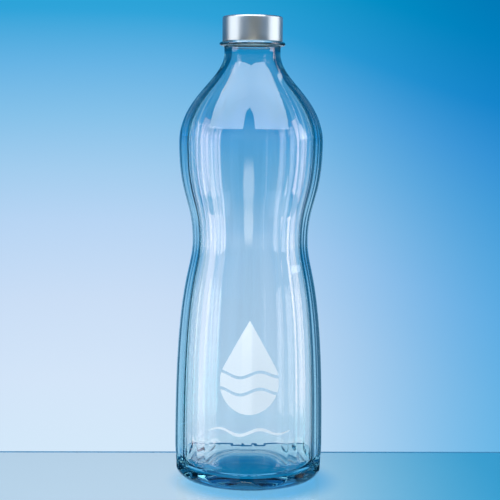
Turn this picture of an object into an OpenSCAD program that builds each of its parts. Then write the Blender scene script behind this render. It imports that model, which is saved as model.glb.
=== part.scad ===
/* [Base] */
// Outer radius of the flat ring that the bottle stands on
foot_r = 34; // [30:0.1:38]
// Width of that standing ring
foot_w = 5; // [3:0.1:8]
// Radius of the rounded heel between the standing ring and the side
heel_r = 6.7; // [4:0.1:9]
// Rise of the hollow under the base
punt_h = 3; // [1.5:0.1:5]
// Thickness of the glass floor
floor_t = 6; // [4:0.1:9]
// Radius of the inside corner between the floor and the side wall
floor_edge_r = 8; // [5:0.1:12]

/* [Body] */
// Radius over the panel edges at the belly, the widest place
belly_r = 41.4; // [37:0.1:46]
// Height of the belly's widest place
belly_z = 20; // [16:0.5:28]
// Radius over the panel edges at the waist, the narrowest place
waist_r = 32.2; // [28:0.1:36]
// Height of the waist
waist_z = 131; // [118:0.5:142]
// Radius over the panel edges at the shoulder
shoulder_r = 39.8; // [36:0.1:44]
// Height of the shoulder's widest place
shoulder_z = 184; // [172:0.5:196]
// Height at which the shoulder has drawn in to the neck
neck_z = 232; // [222:0.5:248]
// Glass thickness at the middle of a panel
wall_t = 2.6; // [2:0.1:4]

/* [Panels] */
// Number of flat panels round the body
panel_count = 10; // [8:2:12]
// Angle that the flat of one panel spans; the rest of its pitch is a rounded edge
panel_flat = 28; // [20:1:29]
// Turn of the panel edge that is nearest to the front
panel_turn = -2; // [-18:0.5:18]

/* [Neck finish] */
// Radius of the neck under the transfer ring
neck_r = 15.2; // [14.5:0.1:17]
// Length of the straight neck under the transfer ring
neck_len = 3.8; // [2.5:0.1:8]
// Radius of the transfer ring
ring_r = 17.8; // [17.4:0.1:20]
// Height of the transfer ring
ring_h = 2; // [1.4:0.1:3]
// Height of the threaded finish, from the transfer ring to the mouth
finish_h = 11.2; // [10:0.1:14]
// Radius of the finish between its threads
finish_r = 13.9; // [13.4:0.1:14.4]
// Radius of the bore at the mouth
bore_r = 11.2; // [9.5:0.1:11.8]
// Drop of the bore's lower end below the top of the shoulder
bore_drop = 2; // [0:0.1:6]
// Rounding of the outer edge of the mouth
lip_r = 0.8; // [0.4:0.1:1.2]
// Chamfer of the inner edge of the mouth
lip_chamfer = 0.5; // [0.2:0.1:0.8]

/* [Thread] */
// Rise of the thread in one turn
pitch = 4.2; // [3.8:0.1:5]
// Height of the thread's crest above the finish
thread_h = 1; // [0.7:0.05:1.2]
// Width of a thread ridge at its foot
ridge_foot = 2; // [1.5:0.1:2.4]
// Width of a thread ridge at its crest
ridge_crest = 0.9; // [0.5:0.1:1.2]
// Turns of thread on the glass
glass_turns = 1.5; // [1:0.125:1.75]
// Turns of thread in the cap
cap_turns = 1; // [0.75:0.125:1.25]
// Height of the glass thread's lower end above the transfer ring
thread_start = 2.2; // [1.5:0.1:3]
// Radial clearance between each crest and the root that it faces
thread_gap = 0.3; // [0.2:0.05:0.4]
// Clearance between the flanks that draw the cap down
flank_gap = 0.2; // [0.15:0.05:0.4]

/* [Cap] */
// Sheet thickness of the metal shell
shell_t = 0.3; // [0.2:0.05:0.5]
// Rounding of the shell's top edge
shell_edge_r = 1; // [0.7:0.1:1.6]
// Width of the hem turned in under the insert
hem_w = 0.8; // [0.6:0.05:1]
// Wall of the plastic insert outside its thread
insert_wall = 0.7; // [0.5:0.05:1.2]
// Thickness of the insert's top
insert_top = 1; // [0.8:0.1:2]
// Clearance of the insert in the shell
insert_gap = 0.05; // [0.02:0.01:0.1]
// Thickness of the seal disc
liner_t = 1.2; // [0.8:0.1:2]
// Clearance round the seal disc
liner_gap = 0.3; // [0.2:0.05:0.5]
// Clearance between the cap and the transfer ring
cap_gap = 0.4; // [0.3:0.05:0.8]

/* [Hidden] */
$fn = 96;
// Straight pieces in each curve of the side outlines
curve_steps = 12;
// Straight pieces in the heel and in the inside corner
corner_steps = 8;
// Straight pieces in one turn of a thread
thread_steps = 40;
// Share of a turn over which a thread ridge grows to full height
thread_lead = 0.2;
// Overlap that joins solids and lets cuts pass right through
pass = 1;
// Depth to which a thread ridge is rooted in its wall
ridge_root = 0.4;
// Sink of a ridge's ends below the surface, so that they fade out
ridge_sink = 0.05;
// How far each curve of the side keeps upright, as a share of the height to the next station
belly_ease = 0.84;
waist_ease_low = 0.16;
waist_ease_high = 0.41;
shoulder_ease_low = 0.57;
shoulder_ease_high = 0.5;
neck_ease = 0.29;
heel_ease = 0.4;
// Growth of the panels past the neck, so that they run out at the top of the shoulder
panel_fade = 0.2;
// Lift of the panels' outline, so that its breaks lie clear of those in the round
panel_lift = 0.4;

heel_side_r = foot_r + heel_r;
panel_share = cos(panel_flat / 2);
panel_pitch = 360 / panel_count;
front = -90;

inside_belly_r = belly_r * panel_share - wall_t;
inside_waist_r = waist_r * panel_share - wall_t;
inside_shoulder_r = shoulder_r * panel_share - wall_t;
inside_start_z = floor_t + floor_edge_r;
bore_z = neck_z - bore_drop;

ring_z = neck_z + neck_len;
ring_top = ring_z + ring_h;
mouth_z = ring_top + finish_h;

thread_r = finish_r + thread_h;
thread_z = ring_top + thread_start;
insert_root_r = thread_r + thread_gap;
cap_crest_r = finish_r + thread_gap;
// Narrowing of half a ridge for each step of radius
flank_slope = (ridge_foot - ridge_crest) / 2 / (thread_h + ridge_root);
// Half widths of the glass ridge and the cap's ridge added together, at any radius that both reach
ridge_pair = ridge_foot - flank_slope * (insert_root_r - finish_r + 2 * ridge_root);
cap_thread_drop = ridge_pair + flank_gap;
// Place of the cap thread's lower end, in turns along the glass thread
cap_thread_turn = 0.3;

insert_r = insert_root_r + insert_wall;
liner_r = insert_root_r - liner_gap;
cap_r = insert_r + insert_gap + shell_t;
cap_z = ring_top + cap_gap;
insert_z = cap_z + shell_t;
insert_top_z = mouth_z + liner_t + insert_top;
cap_top_z = insert_top_z + insert_gap + shell_t;

// Points of a curve that leaves one station [r, z] and reaches the next upright
function ease_curve(from, to, ease_from, ease_to) =
    let (rise = to[1] - from[1])
    let (z1 = from[1] + ease_from * rise)
    let (z2 = to[1] - ease_to * rise)
    [
        for (i = [1 : curve_steps])
            let (t = i / curve_steps)
            let (u = 1 - t)
            [
                from[0] * (u ^ 3 + 3 * u ^ 2 * t) + to[0] * (3 * u * t ^ 2 + t ^ 3),
                from[1] * u ^ 3 + 3 * z1 * u ^ 2 * t + 3 * z2 * u * t ^ 2 + to[1] * t ^ 3
            ]
    ];

// Points of an arc about [r, z], both ends included
function arc(center, radius, from, to) = [
    for (i = [0 : corner_steps])
        let (a = from + (to - from) * i / corner_steps)
        center + radius * [cos(a), sin(a)]
];

// The side from the belly to the neck, through one radius for each station
function side_curve(belly, waist, shoulder, neck, top_z) = concat(
    ease_curve([belly, belly_z], [waist, waist_z], belly_ease, waist_ease_low),
    ease_curve([waist, waist_z], [shoulder, shoulder_z], waist_ease_high, shoulder_ease_low),
    ease_curve([shoulder, shoulder_z], [neck, top_z], shoulder_ease_high, neck_ease)
);

// Points of a thread ridge that winds up the axis, four to a step
function ridge_points(root, skin, crest, z, turn_from, turns) = [
    for (i = [0 : turns * thread_steps])
        let (turn = i / thread_steps)
        let (grown = min(1, min(turn, turns - turn) / thread_lead))
        let (top = skin + (crest - skin) * grown)
        let (a = 360 * (turn_from + turn))
        let (mid_z = z + pitch * turn)
        for (p = [[root, -ridge_foot], [top, -ridge_crest], [top, ridge_crest], [root, ridge_foot]])
            [p[0] * cos(a), p[0] * sin(a), mid_z + p[1] / 2]
];

// A thread ridge; an inner one has its crest nearer to the axis than its root
module thread_ridge(root, skin, crest, z, turn_from, turns) {
    steps = floor(turns * thread_steps);
    points = ridge_points(root, skin, crest, z, turn_from, turns);
    sides = [
        for (i = [0 : steps - 1])
            for (j = [0 : 3])
                let (k = (j + 1) % 4)
                each [
                    [4 * i + j, 4 * i + k, 4 * i + 4 + k],
                    [4 * i + j, 4 * i + 4 + k, 4 * i + 4 + j]
                ]
    ];
    ends = [[0, 2, 1], [0, 3, 2], [4 * steps, 4 * steps + 1, 4 * steps + 2],
        [4 * steps, 4 * steps + 2, 4 * steps + 3]];
    faces = concat(sides, ends);
    inner = crest < root;
    polyhedron(points, inner ? [for (f = faces) [f[2], f[1], f[0]]] : faces);
}

// The body as if it were round, over the edges of its panels
module body_round() {
    rotate_extrude()
        polygon(concat(
            [[0, 0]],
            arc([foot_r, heel_r], heel_r, -90, 0),
            ease_curve([heel_side_r, heel_r], [belly_r, belly_z], heel_ease, heel_ease),
            side_curve(belly_r, waist_r, shoulder_r, neck_r, neck_z),
            [[0, neck_z]]
        ));
}

// One opposite pair of panels, as an upright slab with the outline of the side
module panel_pair() {
    start = heel_side_r * panel_share;
    side = concat(
        [[start, -pass - panel_lift]],
        ease_curve([start, heel_r], [belly_r * panel_share, belly_z], heel_ease, heel_ease),
        side_curve(belly_r * panel_share, waist_r * panel_share, shoulder_r * panel_share,
            neck_r + panel_fade, neck_z),
        [[neck_r + panel_fade, neck_z + pass]]
    );
    mirrored = [for (i = [len(side) - 1 : -1 : 0]) [-side[i][0], side[i][1]]];
    rotate([90, 0, 0])
        linear_extrude(height = 4 * belly_r, center = true)
            polygon(concat(side, mirrored));
}

// The outside of the body: round, cut by its panels
module body_outside() {
    intersection() {
        body_round();
        intersection_for (i = [0 : panel_count / 2 - 1])
            rotate([0, 0, front + panel_turn + panel_pitch * (i + 0.5)])
                translate([0, 0, panel_lift])
                    panel_pair();
    }
}

// The neck, its transfer ring and the finish that the cap screws on to
module neck_outside() {
    translate([0, 0, neck_z - pass])
        cylinder(r = neck_r, h = neck_len + ring_h / 2 + pass);
    rotate_extrude() {
        translate([0, ring_z])
            square([ring_r - ring_h / 2, ring_h]);
        translate([ring_r - ring_h / 2, ring_z + ring_h / 2])
            circle(r = ring_h / 2);
    }
    puck(finish_r, ring_z, mouth_z, lip_r);
    thread_ridge(finish_r - ridge_root, finish_r - ridge_sink, thread_r, thread_z, 0, glass_turns);
}

// The room for the water, up to the foot of the bore
module cavity() {
    floor_side_r = inside_belly_r - floor_edge_r;
    rotate_extrude()
        polygon(concat(
            [[0, floor_t]],
            arc([floor_side_r, inside_start_z], floor_edge_r, -90, 0),
            [[inside_belly_r, belly_z]],
            side_curve(inside_belly_r, inside_waist_r, inside_shoulder_r, bore_r, bore_z),
            [[0, bore_z]]
        ));
}

// The straight bore with its chamfered mouth
module bore() {
    translate([0, 0, bore_z - pass])
        cylinder(r = bore_r, h = mouth_z - bore_z + 2 * pass);
    translate([0, 0, mouth_z - lip_chamfer])
        cylinder(r1 = bore_r, r2 = bore_r + lip_chamfer + pass, h = lip_chamfer + pass);
}

// A round cap of a given radius and depth, centred on the axis, that domes a face
module dome(radius, rise, z) {
    sphere_r = (radius ^ 2 + rise ^ 2) / (2 * rise);
    translate([0, 0, z + rise - sphere_r])
        sphere(r = sphere_r);
}

// A round puck with its top edge rounded
module puck(radius, z_low, z_high, edge) {
    rotate_extrude() {
        translate([0, z_low])
            square([radius, z_high - z_low - edge]);
        translate([0, z_low])
            square([radius - edge, z_high - z_low]);
        translate([radius - edge, z_high - edge])
            circle(r = edge);
    }
}

module glass_bottle() {
    color([0.72, 0.86, 0.93, 0.5])
        difference() {
            union() {
                body_outside();
                neck_outside();
            }
            difference() {
                cavity();
                dome(inside_belly_r - floor_edge_r, punt_h, floor_t);
            }
            bore();
            dome(foot_r - foot_w, punt_h, 0);
        }
}

module cap_shell() {
    color("silver")
        difference() {
            puck(cap_r, cap_z, cap_top_z, shell_edge_r);
            puck(cap_r - shell_t, insert_z, cap_top_z - shell_t, shell_edge_r - shell_t);
            translate([0, 0, cap_z - pass])
                cylinder(r = cap_r - hem_w, h = shell_t + 2 * pass);
        }
}

module cap_insert() {
    color("whitesmoke") {
        difference() {
            puck(insert_r, insert_z, insert_top_z, shell_edge_r - shell_t);
            translate([0, 0, insert_z - pass])
                cylinder(r = insert_root_r, h = mouth_z + liner_t - insert_z + pass);
        }
        thread_ridge(insert_root_r + ridge_root, insert_root_r + ridge_sink, cap_crest_r,
            thread_z - cap_thread_drop + pitch * cap_thread_turn, cap_thread_turn, cap_turns);
    }
}

module cap_liner() {
    color("gainsboro")
        translate([0, 0, mouth_z])
            cylinder(r = liner_r, h = liner_t);
}

glass_bottle();
cap_shell();
cap_insert();
cap_liner();
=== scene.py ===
# %% [markdown]
# # A panelled glass water bottle with a satin metal cap
#
# This lesson dresses a finished construction model. The pieces, their sizes and the joint of the cap are
# already there and stay where they are; what is added is what the eye sees: the clear glass with its soft
# panels, the satin cap, the plastic and the seal inside it, a white fired print, and a small studio.
# Blender counts in metres, and `MM` turns the drawing's millimetres into them.

# %% Load the construction model
import math

import bpy
import numpy as np
from mathutils import Matrix, Vector


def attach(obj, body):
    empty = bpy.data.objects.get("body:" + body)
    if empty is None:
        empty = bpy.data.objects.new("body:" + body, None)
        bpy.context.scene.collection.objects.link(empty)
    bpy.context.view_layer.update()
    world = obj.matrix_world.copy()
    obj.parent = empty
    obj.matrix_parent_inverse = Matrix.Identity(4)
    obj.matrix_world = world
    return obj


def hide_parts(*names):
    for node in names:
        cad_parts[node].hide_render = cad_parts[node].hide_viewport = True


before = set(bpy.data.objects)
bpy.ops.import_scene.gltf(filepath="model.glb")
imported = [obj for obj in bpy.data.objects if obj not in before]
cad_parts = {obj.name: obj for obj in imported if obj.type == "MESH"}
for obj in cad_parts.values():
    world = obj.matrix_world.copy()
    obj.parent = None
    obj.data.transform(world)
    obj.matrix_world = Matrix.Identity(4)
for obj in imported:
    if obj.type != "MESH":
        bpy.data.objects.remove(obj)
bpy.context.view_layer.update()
MM = 0.001

scene = bpy.context.scene
scene.view_settings.view_transform = "Standard"

# %% [markdown]
# ## Four small helpers
#
# Colours are written as sRGB hex, the way a colour picker shows them, but a renderer counts light in linear
# values, so one function converts them. A second one adds a shader node with its settings and links in one
# call. A third one starts an empty material, and a fourth makes an object from points and faces, which is
# how every mesh below is built.

# %% Helpers for colours, nodes, materials and meshes


def linear(hex_colour):
    """A linear RGBA colour from an sRGB hex such as #8fc7ee."""
    channels = [int(hex_colour[i:i + 2], 16) / 255 for i in (1, 3, 5)]
    curve = [c / 12.92 if c <= 0.04045 else ((c + 0.055) / 1.055) ** 2.4 for c in channels]
    return (*curve, 1.0)


def add_node(tree, kind, inputs=None, **settings):
    """Adds a node; an input is a value, or a socket to link it to."""
    node = tree.nodes.new(kind)
    for name, value in settings.items():
        setattr(node, name, value)
    for name, value in (inputs or {}).items():
        if isinstance(value, bpy.types.NodeSocket):
            tree.links.new(value, node.inputs[name])
        else:
            node.inputs[name].default_value = value
    return node


def new_material(name):
    """An empty material and its node tree, with only an output."""
    material = bpy.data.materials.new(name)
    material.use_nodes = True
    tree = material.node_tree
    tree.nodes.clear()
    return material, tree, tree.nodes.new("ShaderNodeOutputMaterial")


def new_mesh(name, points, faces, material):
    """A smooth mesh object in the scene, made of one material."""
    mesh = bpy.data.meshes.new(name)
    mesh.from_pydata([tuple(p) for p in points], [], faces)
    mesh.validate()
    mesh.shade_smooth()
    mesh.materials.append(material)
    piece = bpy.data.objects.new(name, mesh)
    scene.collection.objects.link(piece)
    return piece


print("white in linear values:", linear("#ffffff"))

# %% [markdown]
# ## The camera
#
# The bottle's outline was measured against the picture to find the lens and the height of the eye: a short
# telephoto lens, a little above the shoulder of the bottle and tipped down slightly. Blender's lens is in
# millimetres on a sensor, so the focal length that was found in pixels is scaled to that sensor. A small
# roll leans the camera as the picture's upright lines lean.

# %% Camera
FRAME_PX = 500
FOCAL_PX = 1286.0
SENSOR = 36.0
CAMERA_AWAY, CAMERA_ASIDE, CAMERA_HIGH = 702 * MM, -0.3 * MM, 197.3 * MM
CAMERA_TILT, CAMERA_ROLL = 5.87, 0.54
CAMERA_NEAREST = 10 * MM

camera = bpy.data.objects.new("camera", bpy.data.cameras.new("camera"))
scene.collection.objects.link(camera)
camera.data.sensor_width = SENSOR
camera.data.lens = FOCAL_PX / FRAME_PX * SENSOR
camera.data.clip_start = CAMERA_NEAREST
camera.location = (CAMERA_ASIDE, -CAMERA_AWAY, CAMERA_HIGH)
upright = Matrix.Rotation(math.radians(90 - CAMERA_TILT), 4, "X")
rolled = Matrix.Rotation(math.radians(CAMERA_ROLL), 4, "Z")
camera.rotation_euler = (upright @ rolled).to_euler()
scene.camera = camera
print("lens, mm:", round(camera.data.lens, 1))

# %% [markdown]
# ## The backdrop
#
# Clear glass has hardly any colour of its own: it shows the room behind it. The room could be a painted
# wall, but the world is simpler, because it is infinitely far away and has no seams. It is a blue that is
# pale towards the floor and deeper upwards; each stop is the sine of an angle above the horizon and a
# colour. Where the camera looks past the bottle the blue also deepens from left to right. Through the glass
# that is evened out, because every panel bends the light to another place and an uneven backdrop would come
# out as streaks.

# %% Directions in the world
STRETCHES = 8
SIDE_START = math.radians(7.9)
SIDE_POWER = 1.6

world = bpy.data.worlds.new("studio")
world.use_nodes = True
scene.world = world
tree = world.node_tree
tree.nodes.clear()
way = add_node(tree, "ShaderNodeTexCoord")
axes = add_node(tree, "ShaderNodeSeparateXYZ", {0: way.outputs["Generated"]})
bearing = add_node(
    tree, "ShaderNodeMath", {0: axes.outputs["X"], 1: axes.outputs["Y"]}, operation="ARCTAN2",
)
turns = add_node(
    tree, "ShaderNodeMath",
    {0: bearing.outputs[0], 1: STRETCHES, 2: STRETCHES * SIDE_START},
    operation="MULTIPLY_ADD",
)
swing = add_node(tree, "ShaderNodeMath", {0: turns.outputs[0]}, operation="COSINE")
aside = add_node(
    tree, "ShaderNodeMapRange", {"Value": swing.outputs[0], "From Min": 1.0, "From Max": -1.0},
)
falling = add_node(tree, "ShaderNodeMath", {0: aside.outputs[0], 1: SIDE_POWER}, operation="POWER")
print("backdrop, degrees from palest to deepest:", 180 / STRETCHES)

# %% Backdrop of the world
BACKDROP = [
    (-0.26, "#d4e9fa"), (-0.2, "#d3e5f9"), (-0.14, "#cadef6"), (-0.08, "#b7d5f4"),
    (-0.04, "#a2cdef"), (0.0, "#86c2ea"), (0.04, "#66b4e5"), (0.08, "#30a4da"),
    (0.13, "#039ccb"), (0.2, "#018eba"), (0.33, "#0a86b6"), (0.5, "#0a76a6"),
]
BACKDROP_SIDE = "#71caec"
BACKDROP_SLANT = 0.077
EVEN_LOW, EVEN_HIGH = (-0.1, 0.2), (0.02, 0.65)

through = add_node(
    tree, "ShaderNodeMapRange",
    {
        "Value": axes.outputs["Z"], "From Min": EVEN_LOW[0], "From Max": EVEN_HIGH[0],
        "To Min": EVEN_LOW[1], "To Max": EVEN_HIGH[1],
    },
)
ray = add_node(tree, "ShaderNodeLightPath")
deeper = add_node(
    tree, "ShaderNodeMix",
    {"Factor": ray.outputs["Is Camera Ray"], 2: through.outputs[0], 3: falling.outputs[0]},
)
slant = add_node(
    tree, "ShaderNodeMath",
    {0: deeper.outputs[0], 1: BACKDROP_SLANT, 2: axes.outputs["Z"]},
    operation="MULTIPLY_ADD",
)
low, high = BACKDROP[0][0], BACKDROP[-1][0]
height = add_node(
    tree, "ShaderNodeMapRange", {"Value": slant.outputs[0], "From Min": low, "From Max": high},
)
wall = add_node(tree, "ShaderNodeValToRGB", {"Fac": height.outputs["Result"]})
for stop, (rise, colour) in enumerate(BACKDROP):
    if stop >= 2:
        wall.color_ramp.elements.new(1.0)
    wall.color_ramp.elements[stop].position = (rise - low) / (high - low)
    wall.color_ramp.elements[stop].color = linear(colour)
backdrop = add_node(
    tree, "ShaderNodeMix",
    {"Factor": deeper.outputs[0], 6: wall.outputs["Color"], 7: linear(BACKDROP_SIDE)},
    data_type="RGBA", blend_type="MULTIPLY",
)
print("backdrop stops:", len(BACKDROP))

# %% [markdown]
# ## The dark room beside it
#
# A product photographer keeps the room beside the backdrop dark, so that the rims of the glass, which bend
# light in from the sides, are drawn in dark lines. A ray through the middle of a bottle crosses four glass
# surfaces, and at the rims it often crosses only two; Light Path's Transmission Depth counts them. So the
# dark stretches round the room are shown only to rays that have crossed fewer than three, and the middle
# stays clear. Matt surfaces get a neutral grey room instead, so that they keep their own colours. Thick
# glass needs many bounces, or it turns black.

# %% Dark stretches of the world
ROOM_SHADE = "#04587a"
RIM_TINT = "#dcf7ff"
NEUTRAL_ROOM = "#8f969c"
SHADE_FROM, SHADE_TO, SHADE_MOST = -0.1, 0.35, 0.9
RIM_CROSSINGS = 3.0
LONGEST_PATH, LONGEST_IN_GLASS = 32, 24

even = add_node(tree, "ShaderNodeMath", {0: bearing.outputs[0], 1: STRETCHES}, operation="MULTIPLY")
ripple = add_node(tree, "ShaderNodeMath", {0: even.outputs[0]}, operation="COSINE")
shade = add_node(
    tree, "ShaderNodeMapRange",
    {"Value": ripple.outputs[0], "From Min": SHADE_FROM, "From Max": SHADE_TO, "To Max": SHADE_MOST},
    interpolation_type="SMOOTHSTEP",
)
few = add_node(
    tree, "ShaderNodeMath", {0: ray.outputs["Transmission Depth"], 1: RIM_CROSSINGS}, operation="LESS_THAN",
)
rim_ray = add_node(
    tree, "ShaderNodeMath", {0: few.outputs[0], 1: ray.outputs["Is Transmission Ray"]}, operation="MULTIPLY",
)
shaded = add_node(
    tree, "ShaderNodeMath", {0: shade.outputs[0], 1: rim_ray.outputs[0]}, operation="MULTIPLY",
)
room = add_node(
    tree, "ShaderNodeMix",
    {"Factor": shaded.outputs[0], 6: backdrop.outputs[2], 7: linear(ROOM_SHADE)},
    data_type="RGBA",
)
rims = add_node(
    tree, "ShaderNodeMix",
    {"Factor": rim_ray.outputs[0], 6: room.outputs[2], 7: linear(RIM_TINT)},
    data_type="RGBA", blend_type="MULTIPLY",
)
seen = add_node(
    tree, "ShaderNodeMix",
    {"Factor": ray.outputs["Is Diffuse Ray"], 6: rims.outputs[2], 7: linear(NEUTRAL_ROOM)},
    data_type="RGBA",
)
sky = add_node(tree, "ShaderNodeBackground", {"Color": seen.outputs[2], "Strength": 1.0})
add_node(tree, "ShaderNodeOutputWorld", {"Surface": sky.outputs[0]})
scene.cycles.max_bounces = LONGEST_PATH
scene.cycles.glossy_bounces = LONGEST_IN_GLASS
scene.cycles.transmission_bounces = LONGEST_IN_GLASS
print("dark stretches round the room:", STRETCHES)

# %% [markdown]
# ## The floor
#
# The bottle stands near the back edge of a clear polished board, with the pale room going on below it. At
# this low angle a polished sheet mirrors about a quarter of what is above it, so the board is a little
# deeper in colour than the room behind, and its cut back edge is a thin dark line. Towards the right the
# sheet is painted a deeper blue, as painted shade for light that falls off to that side, and a thin matt
# film on it takes the shadow of the foot. It fades out away from the bottle, so that its other edges never
# show. A small turn brings the back edge level in the picture.

# %% Polished surface of the board
BOARD_SOLID, BOARD_GONE = 150 * MM, 330 * MM
BOARD_FILM, FILM_PALE = 0.05, "#a9d6f5"
BOARD_IOR, BOARD_ROUGHNESS = 1.5, 0.06
FALLOFF_FROM, FALLOFF_TO = (10 * MM, "#fbffff"), (135 * MM, "#8ce7f1")


def fade_out(tree, near, far):
    """A socket that grows from 0 to 1 between two distances from the object's middle."""
    place = add_node(tree, "ShaderNodeTexCoord")
    away = add_node(tree, "ShaderNodeVectorMath", {0: place.outputs["Object"]}, operation="LENGTH")
    fade = add_node(
        tree, "ShaderNodeMapRange",
        {"Value": away.outputs["Value"], "From Min": near, "From Max": far},
        interpolation_type="SMOOTHSTEP",
    )
    return fade.outputs[0]


board_material, tree, output = new_material("polished_clear_board")
place = add_node(tree, "ShaderNodeTexCoord")
spot = add_node(tree, "ShaderNodeSeparateXYZ", {0: place.outputs["Object"]})
# Painted shade: the board's see-through colour turns a deeper blue towards the right, where the light falls
# off.
painted_falloff = add_node(
    tree, "ShaderNodeMapRange",
    {"Value": spot.outputs["X"], "From Min": FALLOFF_FROM[0], "From Max": FALLOFF_TO[0]},
)
hue = add_node(
    tree, "ShaderNodeMix",
    {"Factor": painted_falloff.outputs[0], 6: linear(FALLOFF_FROM[1]), 7: linear(FALLOFF_TO[1])},
    data_type="RGBA",
)
see_through = add_node(tree, "ShaderNodeBsdfTransparent", {"Color": hue.outputs[2]})
film = add_node(tree, "ShaderNodeBsdfDiffuse", {"Color": linear(FILM_PALE)})
sheet = add_node(
    tree, "ShaderNodeMixShader", {0: BOARD_FILM, 1: see_through.outputs[0], 2: film.outputs[0]},
)
mirror = add_node(tree, "ShaderNodeBsdfGlossy", {"Roughness": BOARD_ROUGHNESS})
slope = add_node(tree, "ShaderNodeFresnel", {"IOR": BOARD_IOR})
polished = add_node(
    tree, "ShaderNodeMixShader", {0: slope.outputs[0], 1: sheet.outputs[0], 2: mirror.outputs[0]},
)
clear = add_node(tree, "ShaderNodeBsdfTransparent")
mixed = add_node(
    tree, "ShaderNodeMixShader",
    {0: fade_out(tree, BOARD_SOLID, BOARD_GONE), 1: polished.outputs[0], 2: clear.outputs[0]},
)
tree.links.new(mixed.outputs[0], output.inputs["Surface"])
print("board fades out between, mm:", round(BOARD_SOLID / MM), round(BOARD_GONE / MM))

# %% Board and its back edge
BOARD_BACK, BOARD_FRONT, BOARD_SIDE = 46 * MM, 420 * MM, 420 * MM
BOARD_EDGE, EDGE_BLUE = 2.6 * MM, "#3f86b4"
BOARD_DOWN = -0.02 * MM
BOARD_YAW = 1.8


def flat_sheet(name, side, front, back, material):
    """A level rectangle that reaches as far to the left as to the right."""
    corners = [(-side, front, 0), (side, front, 0), (side, back, 0), (-side, back, 0)]
    return new_mesh(name, corners, [(0, 1, 2, 3)], material)


edge_material, tree, output = new_material("board_edge_cut")
cut = add_node(tree, "ShaderNodeBsdfDiffuse", {"Color": linear(EDGE_BLUE)})
clear = add_node(tree, "ShaderNodeBsdfTransparent")
mixed = add_node(
    tree, "ShaderNodeMixShader",
    {0: fade_out(tree, BOARD_SOLID, BOARD_GONE), 1: cut.outputs[0], 2: clear.outputs[0]},
)
tree.links.new(mixed.outputs[0], output.inputs["Surface"])

edge_front = BOARD_BACK - BOARD_EDGE
for part in (
    flat_sheet("board", BOARD_SIDE, -BOARD_FRONT, edge_front, board_material),
    flat_sheet("board_edge", BOARD_SIDE, edge_front, BOARD_BACK, edge_material),
):
    part.location.z = BOARD_DOWN
    part.rotation_euler.z = math.radians(BOARD_YAW)
print("board, mm:", round(2 * BOARD_SIDE / MM), round((BOARD_FRONT + BOARD_BACK) / MM))

# %% [markdown]
# ## Painted shade under the foot and a painted shadow round it
#
# What shows through the thick base is the spot of board right under it, which gets hardly any light in a
# real studio. A glowing disc of deep blue stands for that shade. It is painted shade, not a lit thing, so
# its depth of colour doesn't hang on the lamps. A second, wider disc is a painted coloured shadow: a clear
# tint that makes the board blue round the foot and fades out, as the coloured shadow of a glass does.

# %% Painted shade under the foot and painted shadow round it
FOOT_SHADE_R, FOOT_SHADE_DOWN, FOOT_SHADE_BLUE = 35 * MM, -0.01 * MM, "#0c7cae"
SHADOW_R, SHADOW_FROM, SHADOW_TO = 52 * MM, 31 * MM, 50 * MM
SHADOW_AT = (3 * MM, -14 * MM, -0.015 * MM)
SHADOW_BLUE, NO_TINT = "#a4e2fa", "#ffffff"
DISC_POINTS = 64


def lit_paper(name, colour, radiance=1.0):
    """Paper that is lit evenly, so that it has one brightness all over and from every side."""
    material, tree, output = new_material(name)
    glow = add_node(tree, "ShaderNodeEmission", {"Color": linear(colour), "Strength": radiance})
    tree.links.new(glow.outputs[0], output.inputs["Surface"])
    return material


def disc(name, radius, material):
    """A level round disc."""
    around = np.linspace(0, 2 * math.pi, DISC_POINTS, endpoint=False)
    points = [(radius * math.cos(a), radius * math.sin(a), 0) for a in around]
    return new_mesh(name, points, [tuple(range(DISC_POINTS))], material)


# Painted shade: a glowing deep blue disc where the board under the foot lies in shade.
painted_foot_shade = disc("painted_foot_shade", FOOT_SHADE_R, lit_paper("painted_shade_under_foot", FOOT_SHADE_BLUE))
painted_foot_shade.location.z = FOOT_SHADE_DOWN

# Painted shadow: a blue tint round the foot that fades out, standing in for the coloured shadow of the
# glass.
painted_shadow_material, tree, output = new_material("painted_blue_shadow")
hue = add_node(
    tree, "ShaderNodeMix",
    {"Factor": fade_out(tree, SHADOW_FROM, SHADOW_TO), 6: linear(SHADOW_BLUE), 7: linear(NO_TINT)},
    data_type="RGBA",
)
tinted = add_node(tree, "ShaderNodeBsdfTransparent", {"Color": hue.outputs[2]})
tree.links.new(tinted.outputs[0], output.inputs["Surface"])
shadow_film = disc("shadow_film", SHADOW_R, painted_shadow_material)
shadow_film.location = SHADOW_AT
print("discs under the foot, mm:", round(2 * FOOT_SHADE_R / MM), round(2 * SHADOW_R / MM))

# %% [markdown]
# ## A blue gel round the neck
#
# The neck and the top of the shoulder look deeper blue than the backdrop, because they bend in light from
# higher up. A photographer would hang a coloured gel there, just out of the picture. Here it is a band
# round the neck that only rays through glass can meet: the camera, mirror images and shadows pass it by. It
# is clear along its lower edge and full higher up, so that no line shows, and it is darker for the rays of
# the rims.

# %% Neck gel
GEL_AWAY = 85 * MM
GEL_LOW, GEL_FULL, GEL_HIGH = 192 * MM, 224 * MM, 268 * MM
GEL_BLUE, GEL_RIM_BLUE = "#1c92cc", "#05517c"
ALL_ROUND = np.linspace(-180, 180, 97)


def standing_band(name, radius, low, high, bearings, material):
    """An upright band round the bottle's axis; bearing 0 is the camera's side, in degrees."""
    turned = np.radians(bearings)
    points = [(radius * math.sin(a), -radius * math.cos(a), z) for z in (low, high) for a in turned]
    row = len(turned)
    faces = [(k, k + 1, row + k + 1, row + k) for k in range(row - 1)]
    return new_mesh(name, points, faces, material)


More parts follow.
